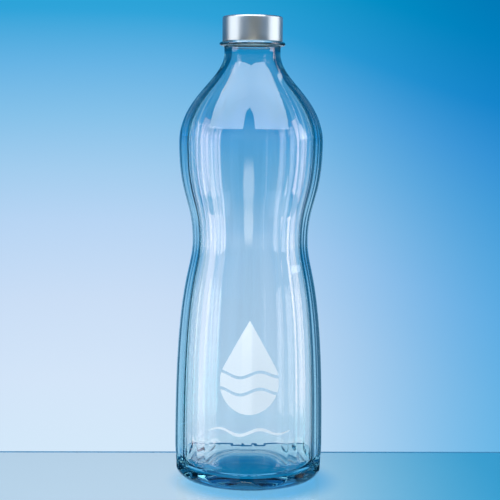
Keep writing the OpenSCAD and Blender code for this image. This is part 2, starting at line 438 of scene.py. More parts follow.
gel_material, tree, output = new_material("blue_gel_lit")
place = add_node(tree, "ShaderNodeTexCoord")
spot = add_node(tree, "ShaderNodeSeparateXYZ", {0: place.outputs["Object"]})
dense = add_node(
    tree, "ShaderNodeMapRange", {"Value": spot.outputs["Z"], "From Min": GEL_LOW, "From Max": GEL_FULL},
    interpolation_type="SMOOTHSTEP",
)
gel_ray = add_node(tree, "ShaderNodeLightPath")
few = add_node(
    tree, "ShaderNodeMath", {0: gel_ray.outputs["Transmission Depth"], 1: RIM_CROSSINGS},
    operation="LESS_THAN",
)
hue = add_node(
    tree, "ShaderNodeMix",
    {"Factor": few.outputs[0], 6: linear(GEL_BLUE), 7: linear(GEL_RIM_BLUE)},
    data_type="RGBA",
)
blue = add_node(tree, "ShaderNodeEmission", {"Color": hue.outputs[2], "Strength": 1.0})
clear = add_node(tree, "ShaderNodeBsdfTransparent")
hung = add_node(
    tree, "ShaderNodeMixShader", {0: dense.outputs[0], 1: clear.outputs[0], 2: blue.outputs[0]},
)
tree.links.new(hung.outputs[0], output.inputs["Surface"])
neck_gel = standing_band("neck_gel", GEL_AWAY, GEL_LOW, GEL_HIGH, ALL_ROUND, gel_material)
neck_gel.visible_camera = False
neck_gel.visible_diffuse = False
neck_gel.visible_glossy = False
neck_gel.visible_shadow = False
print("gel round the neck, mm:", round(GEL_LOW / MM), round(GEL_HIGH / MM))

# %% [markdown]
# ## The lamps
#
# One wide soft box above the front lights everything at a plain level. Shiny things are drawn by what they
# mirror, so four bright cards stand at the sides only to be mirrored: two draw the long strips on the
# glass, and two draw the strips on the cap. They could be glowing planes, but lamps can be linked to one
# piece each, so that the cap and the glass get strips of their own. The cards for the glass shine only on
# rays that have been mirrored at least once, so that they are never seen straight through the bottle from
# the side.

# %% Where lamps and cards stand
BOTTLE_MIDDLE = 130 * MM


def outwards(bearing_deg, rise_deg):
    """The direction away from the bottle; bearing 0 is the camera's side, positive to the right."""
    bearing_rad, rise_rad = math.radians(bearing_deg), math.radians(rise_deg)
    return Vector((
        math.sin(bearing_rad) * math.cos(rise_rad),
        -math.cos(bearing_rad) * math.cos(rise_rad),
        math.sin(rise_rad),
    ))


def facing_bottle(bearing_deg, rise_deg, away):
    """Place and turn of something that faces the middle of the bottle."""
    toward = outwards(bearing_deg, rise_deg)
    return Vector((0, 0, BOTTLE_MIDDLE)) + toward * away, toward.to_track_quat("Z", "Y").to_euler()


print("straight ahead of the bottle:", [round(c, 2) for c in outwards(0, 0)])

# %% Soft box and side cards
STRIP_TINT = "#f6d6cd"
LAMPS = {  # bearing and rise in degrees, then distance, width and height in metres, then radiance
    "soft_box": (-12, 50, 1.1, 0.9, 0.9, 6.3),
    "left_glass_card": (-78, 6, 1.0, 0.5, 1.1, 3.3),
    "right_glass_card": (87, 6, 1.0, 0.5, 1.1, 5.6),
    "left_cap_card": (-78, 6, 1.0, 0.9, 1.1, 1.9),
    "right_cap_card": (92, 6, 1.0, 1.0, 1.1, 2.1),
}
mirrors = {"glass": bpy.data.collections.new("glass_pieces"), "cap": bpy.data.collections.new("cap_pieces")}
for name, (bearing_deg, rise_deg, away_m, wide, tall, radiance) in LAMPS.items():
    lamp = bpy.data.lights.new(name, "AREA")
    lamp.shape = "RECTANGLE"
    lamp.size, lamp.size_y = wide, tall
    lamp.energy = radiance * math.pi * wide * tall
    if "glass" in name:
        lamp.color = linear(STRIP_TINT)[:3]
        lamp.use_nodes = True
        tree = lamp.node_tree
        ray = add_node(tree, "ShaderNodeLightPath")
        once_mirrored = add_node(
            tree, "ShaderNodeMath", {0: ray.outputs["Glossy Depth"], 1: 0.5}, operation="GREATER_THAN",
        )
        tree.links.new(once_mirrored.outputs[0], tree.nodes["Emission"].inputs["Strength"])
    holder = bpy.data.objects.new(name, lamp)
    holder.location, holder.rotation_euler = facing_bottle(bearing_deg, rise_deg, away_m)
    is_card = name.endswith("card")
    holder.visible_camera = False
    holder.visible_diffuse = not is_card
    holder.visible_glossy = is_card
    holder.visible_transmission = "glass" in name
    scene.collection.objects.link(holder)
    if is_card:
        holder.light_linking.receiver_collection = mirrors["cap" if "cap" in name else "glass"]
print("lamps and cards:", len(LAMPS))

# %% [markdown]
# ## Bent cards for the shoulder
#
# The pale patch on the shoulder is the mirror image of a bright card high up in front. Which card gives
# that patch can be worked out backwards: a spot of glass with a known bearing and lean mirrors one
# direction, and the card has to be there. So each card is a grid of bearings and leans, bent round the
# shoulder a metre away, and a gap that tapers upwards leaves the notch in the middle of the patch. A narrow
# second card draws the light line at the right. The cards are made of glowing paper that only mirror images
# show.

# %% Cards that a lean of glass mirrors
SHOULDER_Z = 205 * MM


def mirrored(bearing_deg, lean_deg):
    """The direction in which a surface of this bearing and upward lean mirrors the camera's side."""
    facing = outwards(bearing_deg, lean_deg)
    to_camera = Vector((0, -1, 0))
    return 2 * facing.dot(to_camera) * facing - to_camera


def only_mirrored(card):
    """Shows a card in mirror images alone, and leaves it out of the part."""
    card.visible_camera = False
    card.visible_diffuse = False
    card.visible_transmission = False
    card.visible_shadow = False


def bent_card(name, bearings, leans, gap, material, level=SHOULDER_Z):
    """A card that these bearings and leans mirror; its gap has a middle, half a width and a top."""
    points = [Vector((0, 0, level)) + mirrored(a, n) for n in leans for a in bearings]
    faces = []
    for row in range(len(leans) - 1):
        open_by = gap[1] * (gap[2] - leans[row]) / (gap[2] - leans[0])
        for column in range(len(bearings) - 1):
            if abs(bearings[column] + 0.5 - gap[0]) < open_by:
                continue
            start = row * len(bearings) + column
            faces.append((start, start + 1, start + 1 + len(bearings), start + len(bearings)))
    only_mirrored(new_mesh(name, points, faces, material))


print("a lean of 20 degrees mirrors a rise of:", round(math.degrees(math.asin(mirrored(0, 20).z))))

# %% Shoulder cards
CARD_LEFT, CARD_RIGHT, CARD_LOW, CARD_HIGH = -30, 21, 11.5, 48
CARD_GAP, NO_GAP = (-2, 15, 30), (0, 0, 50)
WING_SIDES, WING_LOW, WING_HIGH = (51.4, 52.4), 2, 42
CARD_WHITE = "#ffffff"
CARD_RADIANCE, WING_RADIANCE = 5.8, 2.6
CARD_ROWS = 40

bent_card(
    "shoulder_card", np.arange(CARD_LEFT, CARD_RIGHT + 1), np.linspace(CARD_LOW, CARD_HIGH, CARD_ROWS),
    CARD_GAP, lit_paper("lit_shoulder_card", CARD_WHITE, CARD_RADIANCE),
)
bent_card(
    "shoulder_wing", np.linspace(*WING_SIDES, 5), np.linspace(WING_LOW, WING_HIGH, CARD_ROWS),
    NO_GAP, lit_paper("lit_shoulder_wing", CARD_WHITE, WING_RADIANCE),
)
print("shoulder card, leans in degrees:", CARD_LOW, CARD_HIGH)

# %% [markdown]
# ## A soft card for the front edge
#
# Above the waist the glass faces downwards, and the edge between its two front panels mirrors a place low
# in front. A card there draws a soft streak down that edge. It glows in an oval, brightest in the middle,
# so that the streak has no hard ends; a spherical gradient, squeezed to the card's own width and height,
# gives that oval. The lower body would mirror the card as well, so a small dark flag in front of it hides
# the card from there.

# %% Waist card and flag
WAIST_Z = 165 * MM
WAIST_LEFT, WAIST_RIGHT, WAIST_LOW, WAIST_HIGH, WAIST_ROWS = -20, 17, -23, -2, 30
WAIST_TINT, WAIST_RADIANCE, WAIST_FULL = "#fff0d6", 5.0, 0.6
FLAG_LEFT, FLAG_RIGHT, FLAG_LOW, FLAG_HIGH, FLAG_FRONT = -50 * MM, 40 * MM, -20 * MM, 66 * MM, -100 * MM
DARK_TEAL = "#0b3f58"

soft_paper = lit_paper("lit_waist_card", WAIST_TINT)
tree = soft_paper.node_tree
on_card = add_node(tree, "ShaderNodeTexCoord")
from_middle = add_node(
    tree, "ShaderNodeVectorMath",
    {0: on_card.outputs["Generated"], 1: (0.5, 0.5, 0.5)},
    operation="SUBTRACT",
)
to_edge = add_node(
    tree, "ShaderNodeVectorMath", {0: from_middle.outputs[0], 1: (2.0, 0.0, 2.0)}, operation="MULTIPLY",
)
oval = add_node(tree, "ShaderNodeTexGradient", {"Vector": to_edge.outputs[0]}, gradient_type="SPHERICAL")
glow = add_node(
    tree, "ShaderNodeMapRange",
    {"Value": oval.outputs["Fac"], "From Max": WAIST_FULL, "To Max": WAIST_RADIANCE},
    interpolation_type="SMOOTHSTEP",
)
tree.links.new(glow.outputs[0], tree.nodes["Emission"].inputs["Strength"])
bent_card(
    "waist_card", np.arange(WAIST_LEFT, WAIST_RIGHT), np.linspace(WAIST_LOW, WAIST_HIGH, WAIST_ROWS),
    NO_GAP, soft_paper, level=WAIST_Z,
)

corners = [
    (FLAG_LEFT, FLAG_FRONT, FLAG_LOW), (FLAG_RIGHT, FLAG_FRONT, FLAG_LOW),
    (FLAG_RIGHT, FLAG_FRONT, FLAG_HIGH), (FLAG_LEFT, FLAG_FRONT, FLAG_HIGH),
]
only_mirrored(new_mesh("waist_flag", corners, [(0, 1, 2, 3)], lit_paper("blue_flag", DARK_TEAL)))
print("waist card, leans in degrees:", WAIST_LOW, WAIST_HIGH)

# %% [markdown]
# ## A dark collar in front of the neck
#
# The neck would mirror the bright shoulder card right up to its ring. A narrow dark band close in front of
# it takes that place in the mirror image and ends the pale patch below the ring. It has to be close:
# further away it would be mirrored as a dark arc across the shoulder.

# %% Neck collar
COLLAR_R, COLLAR_LOW, COLLAR_HIGH = 20 * MM, 230.2 * MM, 232.8 * MM
COLLAR_BEARINGS = np.arange(-60, 61, 4)
COLLAR_BLUE = "#0c3f5c"

collar_paper = lit_paper("dark_collar", COLLAR_BLUE)
only_mirrored(standing_band("neck_collar", COLLAR_R, COLLAR_LOW, COLLAR_HIGH, COLLAR_BEARINGS, collar_paper))
print("collar radius, mm:", round(COLLAR_R / MM))

# %% [markdown]
# ## A dark card behind the camera
#
# Satin metal mirrors the whole room, softly. The cap is bright at both sides and darker in the middle, so a
# dark card stands behind the camera, where the middle of the cap mirrors it. It is felt, a matt grey teal,
# and takes its shade from the lamps like any real card.

# %% Dark card
DARK_CARD_AT = (10, 8, 1.0)
DARK_CARD_SIDE, DARK_CARD_HALF = 0.42, 0.5
FELT_TEAL, FELT_ROUGHNESS = "#3c6c80", 0.9

felt_material, tree, output = new_material("grey_teal_felt_card")
felt = add_node(
    tree, "ShaderNodeBsdfPrincipled", {"Base Color": linear(FELT_TEAL), "Roughness": FELT_ROUGHNESS},
)
tree.links.new(felt.outputs[0], output.inputs["Surface"])
dark_card = flat_sheet("dark_card", DARK_CARD_SIDE, -DARK_CARD_HALF, DARK_CARD_HALF, felt_material)
dark_card.location, dark_card.rotation_euler = facing_bottle(*DARK_CARD_AT)
only_mirrored(dark_card)
print("dark card at, mm:", [round(c / MM) for c in dark_card.location])

# %% [markdown]
# ## A light card under the board
#
# The heel turns under, so it mirrors what is below the clear board in front. A light blue card there keeps
# the thick heel lighter and draws some light along it.

# %% Heel card
HEEL_CARD_Z, HEEL_CARD_BACK, HEEL_CARD_FRONT, HEEL_CARD_SIDE = -50 * MM, -20 * MM, -140 * MM, 150 * MM
HEEL_CARD_BLUE, HEEL_CARD_RADIANCE = "#8fd0fb", 4.0

heel_paper = lit_paper("blue_lit_card", HEEL_CARD_BLUE, HEEL_CARD_RADIANCE)
heel_card = flat_sheet("heel_card", HEEL_CARD_SIDE, HEEL_CARD_FRONT, HEEL_CARD_BACK, heel_paper)
heel_card.location.z = HEEL_CARD_Z
only_mirrored(heel_card)
print("card under the board at, mm:", round(HEEL_CARD_Z / MM))

# %% [markdown]
# ## A dark curtain
#
# Glass that mirrors a pale room looks milky. A dark curtain round the front and the sides, from below the
# board to a little above the cap, is what the walls mirror instead, so they stay clear and show the
# backdrop through them. It hangs as a band, open only behind the bottle.

# %% Curtain
CURTAIN_AWAY, CURTAIN_LOW, CURTAIN_HIGH = 1.3, -0.5, 0.3
CURTAIN_BEARINGS = np.arange(-160, 161, 5)

curtain_cloth = lit_paper("dark_teal_curtain", DARK_TEAL)
only_mirrored(
    standing_band("dark_curtain", CURTAIN_AWAY, CURTAIN_LOW, CURTAIN_HIGH, CURTAIN_BEARINGS, curtain_cloth)
)
print("curtain away, mm:", round(CURTAIN_AWAY / MM))

# %% [markdown]
# ## The outline of the glass
#
# The side of the bottle is drawn through five stations: heel, belly, waist, shoulder and neck. Between two
# stations the curve leaves one upright and reaches the next upright, and an ease value says how long it
# stays upright at each end. It could be traced by hand as a spline, but these are the construction's own
# sizes, so the smooth glass below lies on the same surface.

# %% Stations of the outline, in mm
FOOT_R, FOOT_W, HEEL_R, PUNT_H = 34.0, 5.0, 6.7, 3.0
FLOOR_T, FLOOR_EDGE_R, WALL_T = 6.0, 8.0, 2.6
BELLY, WAIST, SHOULDER, NECK = (41.4, 20.0), (32.2, 131.0), (39.8, 184.0), (15.2, 232.0)
EASES = [(0.84, 0.16), (0.41, 0.57), (0.5, 0.29)]
HEEL_EASE = 0.4
BORE_R, BORE_Z = 11.2, 230.0
PANEL_FLAT = 28.0
SHARE = math.cos(math.radians(PANEL_FLAT / 2))
SIDE_STEPS = 44


def ease_curve(start, end, ease_start, ease_end, steps):
    """Points [r, z] after the start, along a curve that is upright at both of its stations."""
    t = np.arange(1, steps + 1) / steps
    u = 1 - t
    rise = end[1] - start[1]
    z1, z2 = start[1] + ease_start * rise, end[1] - ease_end * rise
    r = start[0] * (u**3 + 3 * u**2 * t) + end[0] * (3 * u * t**2 + t**3)
    z = start[1] * u**3 + 3 * z1 * u**2 * t + 3 * z2 * u * t**2 + end[1] * t**3
    return np.column_stack([r, z])


def arc(centre, radius, start_deg, end_deg, steps):
    """Points [r, z] along an arc, both ends included."""
    a = np.radians(np.linspace(start_deg, end_deg, steps + 1))
    return np.column_stack([centre[0] + radius * np.cos(a), centre[1] + radius * np.sin(a)])


def side_curve(belly_r, waist_r, shoulder_r, neck):
    """The side from just above the belly up to the neck."""
    stations = [(belly_r, BELLY[1]), (waist_r, WAIST[1]), (shoulder_r, SHOULDER[1]), neck]
    return np.vstack([
        ease_curve(stations[i], stations[i + 1], *EASES[i], SIDE_STEPS) for i in range(len(EASES))
    ])


print("bottle from heel to neck, mm:", NECK[1] - HEEL_R)

# %% Outside and inside curves
CORNER_STEPS, BELLY_STEPS = 14, 12

heel_top = (FOOT_R + HEEL_R, HEEL_R)
outside = np.vstack([
    arc((FOOT_R, HEEL_R), HEEL_R, -90, 0, CORNER_STEPS),
    ease_curve(heel_top, BELLY, HEEL_EASE, HEEL_EASE, BELLY_STEPS),
    side_curve(BELLY[0], WAIST[0], SHOULDER[0], NECK),
])
inside_r = [station[0] * SHARE - WALL_T for station in (BELLY, WAIST, SHOULDER)]
floor_side = inside_r[0] - FLOOR_EDGE_R
inside = np.vstack([
    arc((floor_side, FLOOR_T + FLOOR_EDGE_R), FLOOR_EDGE_R, -90, 0, CORNER_STEPS),
    [[inside_r[0], BELLY[1]]],
    side_curve(*inside_r, (BORE_R, BORE_Z)),
])
print("outline points, outside and inside:", len(outside), len(inside))

# %% [markdown]
# ## The panels and the thread
#
# The round body is cut by ten soft panels. The cut could be ten boxes taken away with a Boolean modifier,
# but that leaves hard edges. Here a panel is a chord of the round, and a soft minimum joins the two, which
# rounds the edges of the panel the way molten glass does. Points stand closer together where those edges
# run. The thread on the neck is a ridge that climbs one pitch a turn and grows out of the glass at both
# ends.

# %% Points round each ring
PANELS, PANEL_TURN = 10, -2.0

half_panel = np.radians([
    0, 0.8, 1.6, 2.3, 2.8, 3.2, 3.5, 3.7, 3.9, 4.1, 4.3, 4.5, 4.8, 5.2, 5.8, 6.6, 7.6, 9, 10.5, 12, 14, 16,
])
pitch_angle = 2 * math.pi / PANELS
from_edge = np.concatenate([half_panel, [pitch_angle / 2], pitch_angle - half_panel[:0:-1]])
front_edge = math.radians(-90 + PANEL_TURN)
angle = np.concatenate([front_edge + k * pitch_angle + from_edge for k in range(PANELS)])
from_panel = np.tile(from_edge - pitch_angle / 2, PANELS)
AROUND = len(angle)
print("points round each ring:", AROUND)

# %% Radii of the panels and the thread, in mm
PANEL_SOFTNESS, PANEL_FADE = 700, 14
FINISH_R = 13.9
PITCH, THREAD_Z, THREAD_H, GLASS_TURNS = 4.2, 240.0, 1.0, 1.5
RIDGE_FOOT, RIDGE_CREST, THREAD_LEAD = 1.7, 0.9, 0.2


def soft_minimum(r, chord):
    """The smaller of two radii, with the corner where they meet rounded off."""
    return r * (1 + (chord / r) ** -PANEL_SOFTNESS) ** (-1 / PANEL_SOFTNESS)


def smooth_step(share):
    """A share from 0 to 1 that starts and ends gently."""
    share = np.clip(share, 0, 1)
    return share * share * (3 - 2 * share)


def panelled(r, z):
    """The ring of radii at one height: round, cut by chords that fade out at the neck."""
    fade = smooth_step((NECK[1] - z) / PANEL_FADE)
    chord_r = (max(r, FOOT_R + HEEL_R) if z < BELLY[1] else r) * SHARE
    return r + (soft_minimum(r, chord_r / np.cos(from_panel)) - r) * fade


def threaded(z):
    """The ring of radii at one height of the finish, with the ridge of the thread."""
    height = np.zeros(AROUND)
    for lap in range(3):
        turn = angle % (2 * math.pi) / (2 * math.pi) + lap
        grown = np.clip(np.minimum(turn, GLASS_TURNS - turn) / THREAD_LEAD, 0, 1)
        off = np.abs(z - THREAD_Z - PITCH * turn)
        flank = smooth_step((RIDGE_FOOT / 2 - off) / ((RIDGE_FOOT - RIDGE_CREST) / 2))
        height = np.maximum(height, THREAD_H * grown * flank)
    return FINISH_R + height


waist_ring = panelled(*WAIST)
print("waist radius, flat and edge, mm:", round(waist_ring.min(), 2), round(waist_ring.max(), 2))

# %% [markdown]
# ## The glass skin
#
# The bottle is one closed skin: from the middle of the hollow under the base, out over the heel, up the
# side, over the thread and the lip, and down the inside to the floor. It could be a subdivided cage with a
# Solidify modifier, but the inside is not an even offset: the base is thick and the bore is straight. So
# every ring of points is worked out, and neighbouring rings are joined with quads.

# %% Rings of the glass
RING_Z, RING_H, RING_R, RING_FILLET = 235.8, 2.0, 17.8, 1.5
MOUTH_Z, LIP_R, LIP_CHAMFER = 249.0, 0.8, 0.5
FOOT_FLAT = 0.4
ROOT_WIDE, ROOT_SLIM, ROOT_RISE, THREAD_START = 0.5, 0.1, 0.15, 0.5
THREAD_STEP = 0.18
PUNT_STEPS, BORE_STEPS, FLOOR_STEPS = 16, 14, 14


def dome(r_edge, rise, z_edge, steps):
    """Points [r, z] of a shallow dome, from next to its middle to next to its edge."""
    sphere = (r_edge**2 + rise**2) / (2 * rise)
    r = r_edge * np.arange(1, steps) / steps
    return np.column_stack([r, z_edge + rise - sphere + np.sqrt(sphere**2 - r**2)])


ring_top = RING_Z + RING_H
under_foot = [
    *dome(FOOT_R - FOOT_W, PUNT_H, 0, PUNT_STEPS),
    (FOOT_R - FOOT_W, 0.0), (FOOT_R - FOOT_FLAT, 0.0),
]
neck_ring = [
    *arc((NECK[0] + RING_FILLET, RING_Z - RING_FILLET), RING_FILLET, 180, 90, 8)[:-1],
    *arc((RING_R - RING_H / 2, RING_Z + RING_H / 2), RING_H / 2, -90, 90, 20),
    (FINISH_R + ROOT_WIDE, ring_top), (FINISH_R + ROOT_SLIM, ring_top + ROOT_RISE),
]
lip_to_floor = [
    *arc((FINISH_R - LIP_R, MOUTH_Z - LIP_R), LIP_R, 0, 90, 8),
    (BORE_R + LIP_CHAMFER, MOUTH_Z), (BORE_R, MOUTH_Z - LIP_CHAMFER),
    *[(BORE_R, z) for z in np.linspace(MOUTH_Z - LIP_CHAMFER, BORE_Z, BORE_STEPS)[1:]],
    *inside[::-1][1:],
    *dome(floor_side, PUNT_H, FLOOR_T, FLOOR_STEPS)[::-1],
]
thread_heights = np.arange(ring_top + THREAD_START, MOUTH_Z - LIP_R, THREAD_STEP)
rings = [(np.full(AROUND, r), z) for r, z in under_foot]
rings += [(panelled(r, z), z) for r, z in outside]
rings += [(np.full(AROUND, r), z) for r, z in neck_ring]
rings += [(threaded(z), z) for z in thread_heights]
rings += [(np.full(AROUND, r), z) for r, z in lip_to_floor]

print("rings of the glass:", len(rings))

# %% Skin over the rings


def turned_skin(rings, turns, first_z, last_z):
    """Points and faces of a closed skin over rings of radii, which starts and ends on the axis."""
    count = len(turns)
    points = [(0, 0, first_z * MM)]
    for radius, z in rings:
        points += zip(radius * MM * np.cos(turns), radius * MM * np.sin(turns), np.full(count, z * MM))
    points.append((0, 0, last_z * MM))
    top = 1 + (len(rings) - 1) * count
    faces = []
    for i in range(count):
        j = (i + 1) % count
        faces.append((0, 1 + j, 1 + i))
        for low in range(1, top, count):
            faces.append((low + i, low + j, low + count + j, low + count + i))
        faces.append((top + i, top + j, top + count))
    return points, faces


points, faces = turned_skin(rings, angle, PUNT_H, FLOOR_T + PUNT_H)
print("glass: points", len(points), "faces", len(faces))

# %% [markdown]
# ## Soda-lime glass, moulded and fire polished
#
# Common bottle glass bends light with an index of about 1.52. A trace of iron tints it aqua, which only
# shows where the light runs a long way inside it: in the base and along the rims. That is absorption in the
# volume, not a colour on the surface. The mould and the fire polish leave the skin a little wavy, so that
# reflections wander: a faint bump with waves about 18 mm long does that. Shadow rays pass straight through
# with a light tint, because a renderer hardly ever finds the way of a lamp's light through bent glass by
# itself.

# %% Glass material
GLASS_IOR = 1.52
GLASS_CLEAR, GLASS_TINT, GLASS_DENSITY = "#ffffff", "#40d3e1", 26.0
GLASS_SHADOW = "#e2eff4"
WAVE_LENGTH, WAVE_DEEP, WAVE_STRENGTH = 18 * MM, 0.12 * MM, 0.15

glass, tree, output = new_material("soda_lime_glass_fire_polished")
place = add_node(tree, "ShaderNodeTexCoord")
waves = add_node(
    tree, "ShaderNodeTexNoise",
    {"Vector": place.outputs["Object"], "Scale": 1 / WAVE_LENGTH, "Detail": 1.0, "Roughness": 0.4},
)
ripples = add_node(
    tree, "ShaderNodeBump",
    {"Strength": WAVE_STRENGTH, "Distance": WAVE_DEEP, "Height": waves.outputs["Fac"]},
)
shader = add_node(
    tree, "ShaderNodeBsdfPrincipled",
    {
        "Base Color": linear(GLASS_CLEAR), "Roughness": 0.0, "IOR": GLASS_IOR,
        "Transmission Weight": 1.0, "Normal": ripples.outputs[0],
    },
)
ray = add_node(tree, "ShaderNodeLightPath")
let_through = add_node(tree, "ShaderNodeBsdfTransparent", {"Color": linear(GLASS_SHADOW)})
either = add_node(
    tree, "ShaderNodeMixShader",
    {0: ray.outputs["Is Shadow Ray"], 1: shader.outputs[0], 2: let_through.outputs[0]},
)
tint = add_node(
    tree, "ShaderNodeVolumeAbsorption", {"Color": linear(GLASS_TINT), "Density": GLASS_DENSITY},
)
tree.links.new(either.outputs[0], output.inputs["Surface"])
tree.links.new(tint.outputs[0], output.inputs["Volume"])

bottle = new_mesh("moulded_glass", points, faces, glass)
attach(bottle, "bottle")
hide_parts("glass_bottle")
mirrors["glass"].objects.link(bottle)
print("glass box, mm:", [round(d / MM, 2) for d in bottle.dimensions])

# %% [markdown]
# ## The cap
#
# The cap is a cup drawn from thin sheet, with a rolled hem at its foot. A Screw modifier could turn its
# section round the axis; the skin of rings and quads that made the glass does it here, from the inside out.
# The small radii at the top and at the hem are what catches the light, so they get the most points.

# %% Cap shell
CAP_R, CAP_Z, CAP_TOP = 16.25, 238.2, 251.55
SHELL_T, SHELL_EDGE_R, HEM_W, HEM_R = 0.3, 1.0, 0.8, 0.2
TOP_INNER, TOP_OUTER, SIDE_MARGIN, INSIDE_MARGIN = 6, 2, 3, 1
CAP_AROUND = 180

edge_centre = (CAP_R - SHELL_EDGE_R, CAP_TOP - SHELL_EDGE_R)
section = np.vstack([
    [[CAP_R - TOP_INNER, CAP_TOP], [CAP_R - TOP_OUTER, CAP_TOP]],
    arc(edge_centre, SHELL_EDGE_R, 90, 0, 12),
    [[CAP_R, CAP_TOP - SIDE_MARGIN], [CAP_R, CAP_Z + SIDE_MARGIN]],
    arc((CAP_R - HEM_R, CAP_Z + HEM_R), HEM_R, 0, -90, 6),
    [[CAP_R - HEM_W, CAP_Z], [CAP_R - HEM_W, CAP_Z + SHELL_T], [CAP_R - SHELL_T, CAP_Z + SHELL_T]],
    [[CAP_R - SHELL_T, CAP_TOP - SHELL_EDGE_R - INSIDE_MARGIN]],
    arc(edge_centre, SHELL_EDGE_R - SHELL_T, 0, 90, 8),
    [[CAP_R - TOP_INNER, CAP_TOP - SHELL_T]],
])
cap_angle = np.linspace(0, 2 * math.pi, CAP_AROUND, endpoint=False)
points, faces = turned_skin(section[::-1], cap_angle, CAP_TOP - SHELL_T, CAP_TOP)
print("cap section points:", len(section))

# %% [markdown]
# ## Drawn aluminium, satin brushed and lacquered
#
# The sheet is drawn into a cup and then brushed while it spins, so its scratches run round it in rings:
# they blur what the cap mirrors up and down, and leave it sharper from side to side. Real scratches are
# about 0.05 mm apart, which is too fine to show here, so they are drawn at 0.25 mm. Patches about 6 mm
# across, where the brush pressed more or less, change the gloss a little. A clear lacquer takes off some of
# the metal's brightness.

# %% Cap metal
ALUMINIUM = "#b4b8ba"
SCRATCH, SCRATCH_DEEP, SCRATCH_STRENGTH = 0.25 * MM, 0.02 * MM, 0.12
BRUSH_PATCH = 6 * MM
SATIN_SHARP, SATIN_SOFT = 0.28, 0.46

satin, tree, output = new_material("drawn_aluminium_satin_lacquered")
place = add_node(tree, "ShaderNodeTexCoord")
axes = add_node(tree, "ShaderNodeSeparateXYZ", {0: place.outputs["Object"]})
flat = add_node(tree, "ShaderNodeCombineXYZ", {"X": axes.outputs["X"], "Y": axes.outputs["Y"]})
from_axis = add_node(tree, "ShaderNodeVectorMath", {0: flat.outputs[0]}, operation="LENGTH")
across = add_node(
    tree, "ShaderNodeCombineXYZ", {"X": from_axis.outputs["Value"], "Y": axes.outputs["Z"]},
)
scratches = add_node(
    tree, "ShaderNodeTexNoise",
    {"Vector": across.outputs[0], "Scale": 1 / SCRATCH, "Detail": 3.0, "Roughness": 0.6},
)
patches = add_node(
    tree, "ShaderNodeTexNoise",
    {"Vector": place.outputs["Object"], "Scale": 1 / BRUSH_PATCH, "Detail": 2.0},
)
worn = add_node(
    tree, "ShaderNodeMath", {0: scratches.outputs["Fac"], 1: patches.outputs["Fac"]}, operation="MULTIPLY",
)
gloss = add_node(
    tree, "ShaderNodeMapRange", {"Value": worn.outputs[0], "To Min": SATIN_SHARP, "To Max": SATIN_SOFT},
)
grooves = add_node(
    tree, "ShaderNodeBump",
    {"Strength": SCRATCH_STRENGTH, "Distance": SCRATCH_DEEP, "Height": scratches.outputs["Fac"]},
)
shader = add_node(
    tree, "ShaderNodeBsdfPrincipled",
    {
        "Base Color": linear(ALUMINIUM), "Metallic": 1.0, "Roughness": gloss.outputs["Result"],
        "Normal": grooves.outputs[0],
    },
)
tree.links.new(shader.outputs[0], output.inputs["Surface"])

cap_shell = new_mesh("drawn_cap_shell", points, faces, satin)
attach(cap_shell, "cap")
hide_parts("cap_shell")
mirrors["cap"].objects.link(cap_shell)
print("cap box, mm:", [round(d / MM, 2) for d in cap_shell.dimensions])

# %% [markdown]
# ## The plastic thread inside the cap
#
# The insert stays as the construction has it, thread and all, and only gets its material. It is injection
# moulded polypropylene, dyed charcoal: slightly glossy, with the faint orange-peel skin of its mould, about
# 0.6 mm from bump to bump, and a trace of light that goes into the plastic and comes out again.

# %% Insert
CHARCOAL = "#262b2e"
PEEL, PEEL_DEEP, PEEL_STRENGTH = 0.6 * MM, 0.03 * MM, 0.1
PLASTIC_SHARP, PLASTIC_SOFT, PLASTIC_IOR = 0.32, 0.46, 1.49
GLOW_SHARE, GLOW_DEEP = 0.15, 1.5 * MM

moulded_plastic, tree, output = new_material("polypropylene_injection_moulded")
place = add_node(tree, "ShaderNodeTexCoord")
skin = add_node(
    tree, "ShaderNodeTexNoise", {"Vector": place.outputs["Object"], "Scale": 1 / PEEL, "Detail": 2.0},
)
peel = add_node(
    tree, "ShaderNodeBump",
    {"Strength": PEEL_STRENGTH, "Distance": PEEL_DEEP, "Height": skin.outputs["Fac"]},
)
gloss = add_node(
    tree, "ShaderNodeMapRange",
    {"Value": skin.outputs["Fac"], "To Min": PLASTIC_SHARP, "To Max": PLASTIC_SOFT},
)
shader = add_node(
    tree, "ShaderNodeBsdfPrincipled",
    {
        "Base Color": linear(CHARCOAL), "Roughness": gloss.outputs["Result"], "IOR": PLASTIC_IOR,
        "Normal": peel.outputs[0], "Subsurface Weight": GLOW_SHARE, "Subsurface Scale": GLOW_DEEP,
    },
)
tree.links.new(shader.outputs[0], output.inputs["Surface"])
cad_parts["cap_insert"].data.materials.clear()
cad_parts["cap_insert"].data.materials.append(moulded_plastic)
print("carried over:", "cap_insert")

# %% [markdown]
# ## The seal
#
# The seal disc is carried over as well. It is die cut from foamed polyethylene: matt and off white, with
# cells about 0.5 mm wide that show as small dimples. Voronoi cells are the nearest pattern to the cells of
# a foam.

# %% Seal
CELL, CELL_DEEP, CELL_STRENGTH = 0.5 * MM, 0.05 * MM, 0.3
FOAM_PALE, FOAM_DULL = "#f1f1ec", "#dcdcd4"
FOAM_ROUGHNESS, FOAM_IOR = 0.75, 1.5

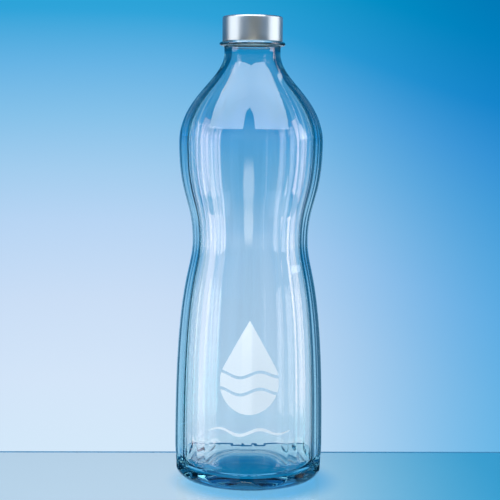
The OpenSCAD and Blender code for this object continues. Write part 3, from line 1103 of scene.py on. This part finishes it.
foam, tree, output = new_material("polyethylene_foam_liner")
place = add_node(tree, "ShaderNodeTexCoord")
cells = add_node(tree, "ShaderNodeTexVoronoi", {"Vector": place.outputs["Object"], "Scale": 1 / CELL})
dimples = add_node(
    tree, "ShaderNodeBump",
    {"Strength": CELL_STRENGTH, "Distance": CELL_DEEP, "Height": cells.outputs["Distance"]},
)
tone = add_node(
    tree, "ShaderNodeMix",
    {"Factor": cells.outputs["Distance"], 6: linear(FOAM_PALE), 7: linear(FOAM_DULL)},
    data_type="RGBA",
)
shader = add_node(
    tree, "ShaderNodeBsdfPrincipled",
    {
        "Base Color": tone.outputs[2], "Roughness": FOAM_ROUGHNESS, "IOR": FOAM_IOR,
        "Normal": dimples.outputs[0],
    },
)
tree.links.new(shader.outputs[0], output.inputs["Surface"])
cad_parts["cap_liner"].data.materials.clear()
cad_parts["cap_liner"].data.materials.append(foam)
print("carried over:", "cap_liner")

# %% [markdown]
# ## The print
#
# A white enamel is screened on the front of the glass and fired on: here a drop of water, cut through by
# two waves, over a long wave. It could be an image on the glass, but a thin mesh stays sharp from close by.
# It follows the panels as ribbons: each ribbon is a lower and an upper line, and the space between them is
# filled with a few rows of points.

# %% Shapes of the print, in mm
PRINT_Z, DROP_R, DROP_TIP = 59.0, 16.5, 33.0
WAVE_GAP, WAVE_H, WAVE_L = 1.6, 1.5, 22.0
LONG_Z, LONG_HALF, LONG_SPAN, LONG_REACH = 33, 0.9, 46, 22.9
PRINT_T = 0.03


def outside_r(z):
    """The radius of the round outside at one height above the heel."""
    return float(np.interp(z, outside[CORNER_STEPS:, 1], outside[CORNER_STEPS:, 0]))


def on_glass(x, z):
    """The point on the glass that is x mm round from the front and z mm up."""
    r = outside_r(z)
    turn = -math.pi / 2 + x / r
    edge = (turn - front_edge + pitch_angle / 2) % pitch_angle - pitch_angle / 2
    r = soft_minimum(r, r * SHARE / math.cos(pitch_angle / 2 - abs(edge))) + PRINT_T
    return (r * MM * math.cos(turn), r * MM * math.sin(turn), z * MM)


def drop_span(x):
    """The lowest and the highest point of the drop at x, above its round part's middle."""
    low = -math.sqrt(max(DROP_R**2 - x**2, 0))
    lean = math.acos(DROP_R / DROP_TIP)
    if abs(x) > DROP_R * math.sin(lean):
        return low, -low
    return low, DROP_TIP - abs(x) / math.tan(math.pi / 2 - lean)


def wave(x, level):
    """The height of a wave line at x."""
    return level + WAVE_H * math.sin(2 * math.pi * x / WAVE_L)


def long_wave(x):
    """The long wave at x, its lower and its upper line; it thins out towards both ends."""
    half = LONG_HALF * math.cos(math.pi * x / LONG_SPAN) ** 0.5
    return x, wave(x, LONG_Z) - half, wave(x, LONG_Z) + half


print("drop, mm wide and high:", 2 * DROP_R, DROP_R + DROP_TIP)

# %% Ribbons of the print
WAVE_LEVELS = [-99.0, -4.5, 4.5, 99.0]
PRINT_ROWS, PRINT_COLUMNS = 10, 121

ribbons = []
for under, over in zip(WAVE_LEVELS, WAVE_LEVELS[1:]):
    ribbon = []
    for x in np.linspace(-DROP_R, DROP_R, PRINT_COLUMNS):
        low, high = drop_span(x)
        low = max(low, wave(x, under) + WAVE_GAP / 2)
        high = min(high, wave(x, over) - WAVE_GAP / 2)
        ribbon.append((x, PRINT_Z + low, PRINT_Z + high) if high > low else None)
    ribbons.append(ribbon)
ribbons.append([long_wave(x) for x in np.linspace(-LONG_REACH, LONG_REACH, PRINT_COLUMNS)])

points, faces = [], []
for ribbon in ribbons:
    before = None
    for column in ribbon:
        if column is None:
            before = None
            continue
        x, low, high = column
        start = len(points)
        points += [on_glass(x, z) for z in np.linspace(low, high, PRINT_ROWS)]
        if before is not None:
            faces += [(before + k, start + k, start + k + 1, before + k + 1) for k in range(PRINT_ROWS - 1)]
        before = start
print("print: points", len(points))

# %% [markdown]
# ## Fired ceramic enamel
#
# Enamel fired on glass is a thin white film, a little less glossy than the glass, with the fine grain of
# the screen that it was pushed through. The mesh of such a screen is about 0.1 mm, drawn here at 0.4 mm so
# that it can show.

# %% Enamel
GRAIN, GRAIN_DEEP, GRAIN_STRENGTH = 0.4 * MM, 0.02 * MM, 0.1
ENAMEL_THIN, ENAMEL_FULL = "#d9ebfa", "#e8f4fd"
ENAMEL_ROUGHNESS, ENAMEL_IOR = 0.35, 1.55

enamel, tree, output = new_material("white_ceramic_enamel_fired")
place = add_node(tree, "ShaderNodeTexCoord")
grain = add_node(
    tree, "ShaderNodeTexNoise", {"Vector": place.outputs["Object"], "Scale": 1 / GRAIN, "Detail": 2.0},
)
film = add_node(
    tree, "ShaderNodeMix",
    {"Factor": grain.outputs["Fac"], 6: linear(ENAMEL_THIN), 7: linear(ENAMEL_FULL)},
    data_type="RGBA",
)
tooth = add_node(
    tree, "ShaderNodeBump",
    {"Strength": GRAIN_STRENGTH, "Distance": GRAIN_DEEP, "Height": grain.outputs["Fac"]},
)
shader = add_node(
    tree, "ShaderNodeBsdfPrincipled",
    {
        "Base Color": film.outputs[2], "Roughness": ENAMEL_ROUGHNESS, "IOR": ENAMEL_IOR,
        "Normal": tooth.outputs[0],
    },
)
tree.links.new(shader.outputs[0], output.inputs["Surface"])
drop_print = new_mesh("drop_and_wave_print", points, faces, enamel)
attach(drop_print, "bottle")
print("print box, mm:", [round(d / MM, 2) for d in drop_print.dimensions])

# %% Finish
bpy.context.view_layer.update()
